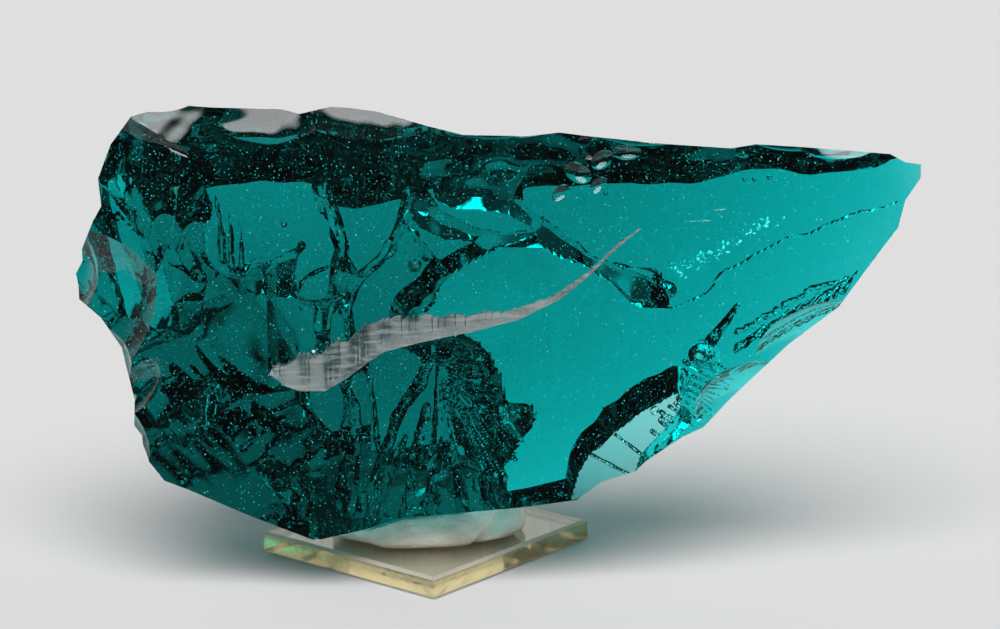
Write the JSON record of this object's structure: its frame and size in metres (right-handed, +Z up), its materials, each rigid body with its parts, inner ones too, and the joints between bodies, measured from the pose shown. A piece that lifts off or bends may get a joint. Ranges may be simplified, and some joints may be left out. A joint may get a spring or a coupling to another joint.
{
  "type": "andara glass specimen",
  "caption": "Broken shard of clear teal glass with a smooth face, chipped edges and a hollowed back, held by putty on a small clear plate.",
  "frame": {"origin": "middle of the plate's underside", "axes": "+X along the shard towards its thin end, -Y out of its smooth face, +Z up"},
  "size_m": [0.1382, 0.0581, 0.0747],
  "materials": {
    "glass": "clear teal glass, glossy fractures",
    "putty": "soft white mounting putty, smudged",
    "plate": "clear acrylic, slightly yellowed, polished"
  },
  "bodies": {
    "root": {"andara_glass": "glass", "putty": "putty", "base": "plate"}
  },
  "joints": []
}
